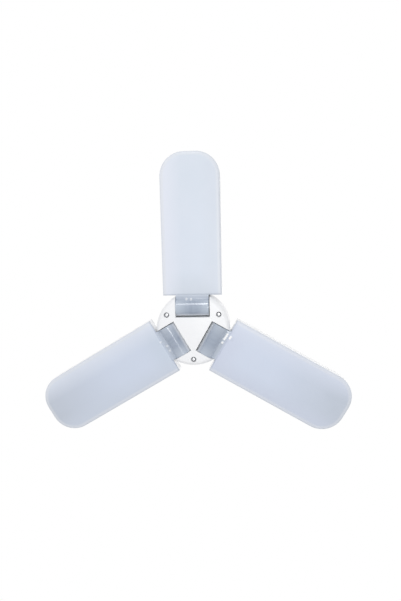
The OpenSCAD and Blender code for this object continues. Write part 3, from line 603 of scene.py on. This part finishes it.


# Zinc plate: it looks dull grey and slightly blue, with a fine spangle, and the cover's screws get a painted
# highlight, paler round their recesses
zinc, tree = material("zinc_plated_steel")
place = add(tree, "TexCoord").outputs["Object"]
# painted highlight: pale in the middle of each cover screw's head, out to this many millimetres
recess_highlight_span = (0.85, 1.25)
spangle = add(tree, "TexNoise", {"Vector": place, "Scale": 1 / (0.6 * MM), "Detail": 3})
colour = layered(tree, "#85878c", ("#9c9ea3", spangle, patches, (0, 1), even),
                 ("#dcdddf", plan_distance(tree, place, screw_pitch_r * wedge_ways), recess_highlight_span, (1, 0), soft))
add(tree, "OutputMaterial", [add(tree, "BsdfPrincipled", {
    "Metallic": 1, "Base Color": colour,
    "Roughness": add(tree, "MapRange", [spangle, *noise_range, 0.24, 0.4]),
    "Normal": add(tree, "Bump", {"Height": spangle, "Distance": 0.01 * MM})})])

# the radius and length of a screw's shank, and the radius and height of its head
cover_screw, plate_screw = (screw_r, 12, 1.55, 1.1), (0.9, 7.5, 1.9, 1.2)
cover_places = [at(way, (screw_pitch_r, 0, head_seat_z), math.radians(way / 3)) for way in wedges]
cover_screws = copied(pan_screw(*cover_screw), "cover_screw_set", cover_places)
fit(cover_screws, zinc, "hub", "screw_steel", "cover_screws", sharp=30)
plate_screw_y, back_z = 16, -28.395
plate_screw_spots = [(x, y) for x in (33.146, 99.146) for y in (-plate_screw_y, plate_screw_y)]
for n, way in blades.items():
    # each head stops at another angle
    places = [at(way, (x, y, back_z), x + math.copysign(1, y), math.pi) for x, y in plate_screw_spots]
    screws = copied(pan_screw(*plate_screw), f"plate_screw_set_{n}", places)
    fit(screws, zinc, f"blade_{n}", "screw_steel", f"plate_screws_{n}", sharp=30)
    dressed(f"hinge_pins_{n}", zinc)


# ---- Diffusers ---------------------------------------------------------------
# Each blade's body: one milky polycarbonate moulding. The tray's floor is the light face, with rounded
# edges; its neck and barrel make the hinge's knuckle, painted darker as painted shade for the dark hub behind
# it.

# the tip ends 0.026 short of the CAD's, whose arcs are coarser and so reach a little less far
blade_start, blade_end, blade_half, tip_round = 23.146, 118.12, 20, 16
plate_z, tray_wall, ledge_inset, face_t = -30.395, 1.8, 2.8, 1.6
edge_round, barrel_r, knuckle_half, neck_wall = 1.5, 6.2, 11.05, 1.6
neck_floor_z, neck_top_z, end_ring, cavity_half, cavity_r, lead_room = -38.895, -30.995, 0.7, 5.75, 3.5, 0.5
boss_r, boss_bore, bore_floor, bore_top = 1.8, 0.9, -36.4, -27
floor_z = light_z + face_t
tip_x, low_half = blade_end - tip_round, blade_half - tip_round


def blade_outline(inset, side_steps=40, arc_steps=14, tip_steps=8, end_steps=16):
    """The blade's outline drawn in by inset: straight inner end and sides, and two quarter rounds at the
    tip, which shrink with the inset."""
    x0, half, r = blade_start + inset, blade_half - inset, tip_round - inset
    along = np.linspace(x0, tip_x, side_steps, endpoint=False)
    a = np.linspace(-math.pi / 2, 0, arc_steps, endpoint=False)
    b = a + math.pi / 2
    tip = np.linspace(-low_half, low_half, tip_steps, endpoint=False)
    near = np.linspace(half, -half, end_steps, endpoint=False)
    parts = [(along, 0 * along - half), (tip_x + r * np.cos(a), -low_half + r * np.sin(a)),
             (0 * tip + tip_x + r, tip), (tip_x + r * np.cos(b), low_half + r * np.sin(b)),
             (x0 + tip_x - along, 0 * along + half), (0 * near + x0, near)]
    return np.concatenate([np.stack(part, -1) for part in parts])


def blade_rings(profile):
    """Rings of the blade's outline for rows of (inset, height, share), each drawn by its share towards the
    line along the blade's middle, where the last one closes."""
    rings = []
    for inset, z, share in profile:
        ring = blade_outline(inset)
        middle = np.clip(ring[:, 0], blade_start + blade_half, tip_x - 2)
        ring = ring * (1 - share) + np.stack([middle, 0 * middle], -1) * share
        rings.append(np.column_stack([ring, np.full(len(ring), z)]))
    return np.array(rings)


shares = np.linspace(1, 0, 7)
a = np.linspace(0, math.pi / 2, 8)
rim, rim_cut = 0.3, 0.09
tray_profile = np.concatenate([
    np.stack([0 * shares + edge_round, 0 * shares + light_z, shares], -1),
    np.stack([edge_round * (1 - np.sin(a)), light_z + edge_round * (1 - np.cos(a)), 0 * a], -1),
    [[0, back_z - rim, 0], [rim_cut, back_z - rim_cut, 0], [rim, back_z, 0], [tray_wall - rim, back_z, 0],
     [tray_wall, back_z - rim, 0], [tray_wall, plate_z, 0], [ledge_inset, plate_z, 0],
     [ledge_inset, floor_z + 0.8, 0], [ledge_inset + 0.25, floor_z + 0.25, 0]],
    np.stack([0 * shares + ledge_inset + 0.8, 0 * shares + floor_z, shares[::-1]], -1)])


def on_hinge(piece):
    """Lays an upright piece on the hinge axis of a blade that points along +X."""
    piece.data.transform(Matrix.Translation(Vector((hinge_r, 0, hinge_z)) * MM)
                         @ Matrix.Rotation(math.pi / 2, 4, "X"))
    return piece


def knuckle_parts(play):
    """The barrel on the hinge axis, and the neck: a channel, open above, up to the tray's end wall. The
    knuckle leans by its side play towards one side of its window."""
    low, high = -knuckle_half + min(play, 0), knuckle_half + max(play, 0)
    cuts = [0, 0.12 if play > 0 else 0.4, 0, 0, 0, 0.12 if play < 0 else 0.4, 0]
    # the rings near the ends keep the shading of the rounded ends off the barrel's length
    barrel = revolved("barrel", rounded([
        [0, -high], [barrel_r, -high], [barrel_r, end_ring - high], [barrel_r, 0],
        [barrel_r, -low - end_ring], [barrel_r, -low], [0, -low]], cuts), 96)
    inner, trough_z = knuckle_half - neck_wall, neck_floor_z + neck_wall
    left, right = low + 0.05, high - 0.05
    channel = rounded([[left, neck_floor_z], [right, neck_floor_z], [right, neck_top_z], [inner, neck_top_z],
                       [inner, trough_z], [-inner, trough_z], [-inner, neck_top_z], [left, neck_top_z]],
                      [0.6, 0.6, 0.3, 0.3, 0.6, 0.6, 0.3, 0.3])
    neck = prism("neck", channel, hinge_r, blade_start + tray_wall / 2)
    neck.data.transform(standing_to_outwards)
    return [on_hinge(barrel), neck]


def knuckle_hollows():
    """The barrel's hollow, the notch for the hub's lead and the passage of the blade's lead."""
    cavity = on_hinge(cylinder("cavity", cavity_r, -cavity_half, cavity_half, 48))
    room = lead_r + lead_room
    notch = box((-10, lead_y - room, hinge_z - room), (hinge_r + room, lead_y + room, -20))
    passage = box((hinge_r, blade_lead_y - room, hinge_z - room),
                  (blade_start + ledge_inset + past, blade_lead_y + room, hinge_z + room))
    return [cavity, notch, passage]


# low round bosses that the mould's gate and ejectors left on the blade: (along, across, radius, height)
pips = {1: [(20.6, -4.1, 0.9, 0.3), (20.4, -1, 0.95, 0.3)],
        2: [(22, -8.1, 1.1, 0.35), (22, -6.8, 1.1, 0.35), (21.9, -5.5, 1.1, 0.35), (21.7, -4.3, 0.9, 0.3),
            (24.8, -7.8, 0.9, 0.3), (24.7, -6.6, 0.9, 0.3), (21.7, -1.5, 0.8, 0.3)],
        3: [(21.6, -0.9, 0.8, 0.25), (21.6, -4.6, 0.85, 0.25), (24, 3.6, 0.7, 0.2)]}
# the share of white in the painted highlight on each blade's bosses
pip_glint_shares = {1: 0.45, 2: 0.9, 3: 0.35}
side_play = {1: -0.45, 2: 0.45, 3: -0.45}


def stamped(piece, way):
    """Writes each point's place on its blade into the mesh: along, across and up, in millimetres."""
    co = np.zeros(len(piece.data.vertices) * 3)
    piece.data.vertices.foreach_get("co", co)
    x, y, z = co.reshape(-1, 3).T / MM
    c, s = math.cos(math.radians(way)), math.sin(math.radians(way))
    place = np.stack([x * c + y * s, y * c - x * s, z], -1)
    stamp = piece.data.attributes.new("blade_place", "FLOAT_VECTOR", "POINT")
    stamp.data.foreach_set("vector", place.ravel())
    return piece


# where the plastic's tones change, in millimetres: along the blade, across it, and in from its outline
face_starts, hub_end, tip_end = (21.6, 24.6), (24, 42), (62, blade_end)
low_side, high_side, rim_band = (-6, -17), (6, 17), (tip_round - 3.2, tip_round - 1.8)
barrel_ends, neck_starts, barrel_inside, neck_gloss = (2, 11), (18.6, 20.6), (9.2, 11.4), (22, 24)
wall_heights, wall_starts = (light_z + 0.9, light_z + 1.6), (blade_start - 0.15, blade_start - 0.05)
# tones for painted rim light, painted light on the barrel's inner side and on the tray's walls, and painted
# highlights on the bosses
rim_light_tone, lit_tone, wall_light_tone, glint_tone = "#dcdfe4", "#eef1f5", "#f8f9fb", "#ffffff"


def milky(name, tones, marks, glint_share, seed):
    """Milky polycarbonate on one blade, with light and shade painted into its colour. Its tones are the face
    near the hub, in the middle and at the tip, where painted shade falls off along the blade, the bands along
    the low and the high side, one painted lit and one painted shaded, and the knuckle's middle, ends and
    neck, painted darker where the dark hub shows through. The bosses, at the marks, get painted highlights,
    paler by the share that is given, and the seed moves the clouds."""
    near_hub, middle, tip, low_side_shading, high_side_shading, barrel, barrel_end, neck = tones
    made, tree = material(name)
    place = add(tree, "Attribute", attribute_name="blade_place").outputs["Vector"]
    x, y, z = add(tree, "SeparateXYZ", [place]).outputs
    across = add(tree, "Math", [y], operation="ABSOLUTE")
    metres = add(tree, "VectorMath", [place, (MM, MM, MM)], operation="MULTIPLY")
    moved = add(tree, "Mapping", {"Vector": metres, "Location": (seed, 0, 0)})
    drawn = add(tree, "Mapping", {"Vector": moved, "Scale": (0.12, 1, 1)})
    clouds = add(tree, "TexNoise", {"Vector": moved, "Scale": 1 / (16 * MM)})
    streaks = add(tree, "TexNoise", {"Vector": drawn, "Scale": 1 / (2.4 * MM), "Detail": 3})
    fine = add(tree, "TexNoise", {"Vector": metres, "Scale": 1 / (0.5 * MM)})
    # a narrow band of painted light, paler and warmer, follows the outline where light comes through the side
    # wall:
    # its place is the distance from the tip arcs' centres
    beyond = [add(tree, "Math", [value, start], operation="SUBTRACT")
              for value, start in ((x, tip_x), (across, low_half))]
    beyond = add(tree, "VectorMath", [add(tree, "CombineXYZ", beyond), (0, 0, 0)], operation="MAXIMUM")
    out = add(tree, "VectorMath", [beyond], operation="LENGTH")
    # painted light and shade: the face's tone changes along the blade, darker towards the tip, and the side
    # bands are painted lit on one side and shaded on the other
    face = layered(tree, near_hub, (middle, x, hub_end, (0, 1), soft), (tip, x, tip_end, (0, 1), even),
                   (low_side_shading, y, low_side, (0, 0.9), even), (high_side_shading, y, high_side, (0, 0.9), even),
                   (low_side_shading, clouds, patches, (0, 0.15), even), (rim_light_tone, out, rim_band, (0, 0.5), soft))
    # painted shade: the knuckle is painted darker, most in the barrel's middle, for the dark hub seen through
    # it
    # the barrel's inner side is lit through by the white walls beside it
    colour = layered(tree, barrel, (barrel_end, across, barrel_ends, (0, 1), even),
                     (barrel_end, streaks, patches, (0, 0.35), even), (neck, x, neck_starts, (0, 1), soft),
                     (lit_tone, x, barrel_inside, (0.9, 0), soft), (face, x, face_starts, (0, 1), soft))
    # painted light: the tray's walls, seen along their depth, are painted near white, as pale as the backdrop
    high = add(tree, "MapRange", [z, *wall_heights, 0, 1], interpolation_type=soft)
    wall = add(tree, "Math", [high, add(tree, "MapRange", [x, *wall_starts, 0, 1])], operation="MULTIPLY")
    # painted highlights: the bosses are painted paler, as glints
    from_pip = plan_distance(tree, place, [(x0, y0) for x0, y0, *_ in marks], unit=1)
    colour = layered(tree, colour, (wall_light_tone, wall, full, (0, 1), even),
                     (glint_tone, from_pip, (0.5, 1.1), (glint_share, 0), soft))
    # the barrel is glossier than the finely grained face
    gloss = add(tree, "MapRange", [x, *neck_gloss, 0.15, 0.36], interpolation_type=soft)
    grain = add(tree, "MapRange", [fine, *noise_range, -0.02, 0.02])
    relief = add(tree, "Bump", {"Height": fine, "Distance": 0.001 * MM})
    add(tree, "OutputMaterial", [add(tree, "BsdfPrincipled", {
        "Base Color": colour, "Roughness": add(tree, "Math", [grain, gloss], operation="ADD"),
        "Normal": add(tree, "Bump", {"Height": clouds, "Distance": 0.01 * MM, "Normal": relief})})])
    return made


# each blade's tones hold the painted light and shade of its place: a face darker towards the tip, one lit and
# one shaded side band, and a knuckle painted darker
tones = {1: ("#cad2dd", "#d2dae6", "#d1d9e4", "#dde1ec", "#cfd6e1", "#98a3b4", "#b8c2cf", "#b5becc"),
         2: ("#c9d0e1", "#cbd4e5", "#bac2ce", "#d0d7e6", "#c6cddd", "#96a1b2", "#b2bbc8", "#b4bdca"),
         3: ("#c5cfde", "#cad3e4", "#bbc2ce", "#c5cddb", "#d8deea", "#929daf", "#b5becb", "#b2bbc9")}
for n, way in blades.items():
    tray = solid(f"diffuser_moulding_{n}", blade_rings(tray_profile),
                 grid_faces(len(tray_profile), len(blade_outline(0)), closed=False))
    bumps = []
    for x, y, r, h in pips[n]:
        # a boss is a low dome: it falls from its middle by h (distance / r)^2
        t = np.linspace(0, 1, 7)
        base_z = neck_floor_z if x < blade_start else light_z
        cap = np.stack([r * t, base_z - h * (1 - t ** 2)], -1)
        foot = [[r, base_z + 0.6], [0, base_z + 0.6]]
        bumps.append(turned(revolved("pip", np.concatenate([cap, foot]), 20), 0, (x, y, 0)))
    bosses = [turned(cylinder("boss", boss_r, floor_z - 0.6, plate_z - 0.02, 32), 0, (x, y, 0))
              for x, y in plate_screw_spots]
    combine(tray, "UNION", *knuckle_parts(side_play[n]), *bosses, *bumps)
    holes = [turned(cylinder("hole", boss_bore, bore_floor, bore_top, 24), 0, (x, y, 0))
             for x, y in plate_screw_spots]
    combine(tray, "DIFFERENCE", *knuckle_hollows(), *holes)
    stamped(turned(tray, way), way)
    plastic = milky(f"milky_polycarbonate_moulded_{n}", tones[n], pips[n], pip_glint_shares[n], n * 0.7)
    fit(tray, plastic, f"blade_{n}", "milky_polycarbonate", f"diffuser_{n}")


# ---- Back plates -------------------------------------------------------------
# A flat pressed aluminium plate closes each tray's back and carries the light board's heat away. Long ribs
# stiffen it, and four screws hold it in the tray.

plate_inset, rib_h, rib_w, rib_count, rib_start, rib_len = 2, 1, 1.6, 5, 31.146, 75
rib_step = 2 * (plate_screw_y - 3.8) / (rib_count + 1)
rib_end = rib_start + rib_len
plate_hole_r, hole_low, hole_high = 1, -31, -28
top = np.linspace(1, 0, 5)
plate_profile = np.concatenate([
    np.stack([0 * top + plate_inset + 0.2, 0 * top + plate_z, top], -1),
    [[plate_inset, plate_z + 0.2, 0], [plate_inset, back_z - rim, 0],
     [plate_inset + rim_cut, back_z - rim_cut, 0], [plate_inset + rim, back_z, 0]],
    np.stack([0 * top + plate_inset + 0.6, 0 * top + back_z, top[::-1]], -1)])


def rib(y):
    """A rib along the blade: a long outline with round ends, carried up from inside the plate and drawn in
    towards its top, which rounds its edge."""
    a = np.linspace(-math.pi / 2, math.pi / 2, 9)
    rings = []
    for inset, up in ((0, -0.5), (0, rib_h - 0.45), (0.14, rib_h - 0.12), (0.42, rib_h)):
        r = rib_w / 2 - inset
        end = np.stack([rib_end - rib_w / 2 + r * np.cos(a), y + r * np.sin(a)], -1)
        start = np.stack([rib_start + rib_w / 2 - r * np.cos(a), y - r * np.sin(a)], -1)
        rings.append(np.column_stack([np.concatenate([end, start]), np.full(2 * len(a), back_z + up)]))
    m, last = len(rings[0]), (len(rings) - 1) * len(rings[0])
    caps = [list(range(m)), list(range(last, last + m))]
    return solid("rib", np.array(rings), grid_faces(len(rings), m, closed=False) + caps)


def satin_aluminium(name):
    """Satin anodised aluminium, brushed along the blade, which draws its sheen out into fine lines."""
    made, tree = material(name)
    place = add(tree, "Attribute", attribute_name="blade_place").outputs["Vector"]
    metres = add(tree, "VectorMath", [place, (MM, MM, MM)], operation="MULTIPLY")
    drawn = add(tree, "Mapping", {"Vector": metres, "Scale": (0.03, 1, 1)})
    brushed = add(tree, "TexNoise", {"Vector": drawn, "Scale": 1 / (0.7 * MM), "Detail": 4})
    clouds = add(tree, "TexNoise", {"Vector": metres, "Scale": 1 / (14 * MM)})
    add(tree, "OutputMaterial", [add(tree, "BsdfPrincipled", {
        "Metallic": 1, "Base Color": layered(tree, "#c8cacd", ("#dadcde", clouds, full, (0, 1), even)),
        "Roughness": add(tree, "MapRange", [brushed, *noise_range, 0.28, 0.48]),
        "Normal": add(tree, "Bump", {"Height": brushed, "Distance": 0.012 * MM})})])
    return made


for n, way in blades.items():
    plate = solid(f"heat_plate_pressing_{n}", blade_rings(plate_profile),
                  grid_faces(len(plate_profile), len(blade_outline(0)), closed=False))
    combine(plate, "UNION", *(rib((i - (rib_count - 1) / 2) * rib_step) for i in range(rib_count)))
    holes = [turned(cylinder("hole", plate_hole_r, hole_low, hole_high, 24), 0, (x, y, 0))
             for x, y in plate_screw_spots]
    combine(plate, "DIFFERENCE", *holes)
    stamped(turned(plate, way), way)
    fit(plate, satin_aluminium(f"satin_anodised_aluminium_{n}"), f"blade_{n}", "aluminium_plate",
        f"heat_plate_{n}", sharp=40)


# ---- Light boards ------------------------------------------------------------
# Inside each closed tray: a silicone pad on the plate, an aluminium-cored board under white solder mask,
# and rows of phosphor chips that face the diffuser.

silicone = mottled("grey_silicone_pad", "#74777a", "#83868a", 1.5, 0.7, 0.02)
mask = mottled("white_solder_mask", "#e2e3e0", "#eceded", 2, 0.35, 0.01)
phosphor = mottled("yellow_phosphor_gel", "#d9bf5a", "#e3cd74", 1, 0.4, 0.02)
for n in blades:
    dressed(f"thermal_pad_{n}", silicone)
    dressed(f"led_board_{n}", mask)
    dressed(f"led_chips_{n}", phosphor)


# ---- Studio ------------------------------------------------------------------
# A pale floor well below the lamp, a plain white surrounding, and plain lamps: wide ones below and above,
# and two small ones on each of two sides, whose reflections draw the lines along the top and left barrels.

ground_z, ground_half, ground_glow, ambient = -1600, 6000, 0.3, 0.765
square = ground_half * np.array([[-1, -1], [1, -1], [1, 1], [-1, 1]])
floor = solid("floor", np.column_stack([square, np.full(4, ground_z)]), [[0, 1, 2, 3]])

# Matt white paint, rolled on: faint wide clouds. The camera and mirrors see it as pale as the backdrop,
# and it keeps the lamp's shadow.
paint, tree = material("pale_floor_paint")
clouds = add(tree, "TexNoise", {"Vector": add(tree, "TexCoord").outputs["Object"], "Scale": 1 / (300 * MM)})
rays = add(tree, "LightPath").outputs
seen = add(tree, "Math", [rays["Is Camera Ray"], rays["Is Glossy Ray"]], operation="MAXIMUM")
add(tree, "OutputMaterial", [add(tree, "BsdfPrincipled", {
    "Base Color": layered(tree, "#f2f2f2", ("#f7f7f7", clouds, full, (0, 1), even)), "Roughness": 0.9,
    "Emission Color": "#ffffff",
    "Emission Strength": add(tree, "Math", [seen, ground_glow], operation="MULTIPLY")})])
floor.data.materials.append(paint)


def lamp(name, place, aim, size, power):
    """An area lamp of a width and depth at a place, in metres, facing a point, with its power in watts."""
    data = bpy.data.lights.new(name, "AREA")
    data.shape, data.size, data.size_y, data.energy = "RECTANGLE", size[0], size[1], power
    light = bpy.data.objects.new(name, data)
    facing = (Vector(place) - Vector(aim)).to_track_quat("Z", "Y").to_matrix()
    light.matrix_world = Matrix.Translation(place) @ facing.to_4x4()
    light.visible_camera = False
    bpy.context.scene.collection.objects.link(light)


middle, top_barrel, left_barrel = (0, 0, -0.04), (0, -0.017, -0.04), (-0.014, 0.008, -0.04)
lamp("soft_below", (-0.02, -0.26, -0.72), middle, (0.6, 0.6), 0.25)
lamp("line_top", (-0.07, -0.535, -0.646), top_barrel, (0.15, 0.3), 0.75)
lamp("line_top_end", (-0.03, -0.537, -0.648), top_barrel, (0.07, 0.3), 0.4)
lamp("line_left", (0.105, 0.02, -0.833), left_barrel, (0.16, 0.16), 0.21)
lamp("line_left_end", (0.085, -0.035, -0.834), left_barrel, (0.1, 0.1), 0.65)
lamp("soft_above", (0.3, 0.4, 1.1), (0, 0, 0), (1, 1), 1.5)

# the world is plain white to the camera, mirrors and glass, and lights the lamp a little less brightly
world = bpy.data.worlds.new("studio")
bpy.context.scene.world = world
world.use_nodes = True
tree = world.node_tree
tree.nodes.clear()
rays = add(tree, "LightPath").outputs
seen = add(tree, "Math", [rays["Is Camera Ray"], rays["Is Glossy Ray"]], operation="MAXIMUM")
seen = add(tree, "Math", [seen, rays["Is Transmission Ray"]], operation="MAXIMUM")
backdrops = [add(tree, "Background", {"Color": "#ffffff", "Strength": strength}) for strength in (ambient, 1)]
add(tree, "OutputWorld", [add(tree, "MixShader", [seen, *backdrops])])
bpy.context.scene.view_settings.view_transform = "Standard"
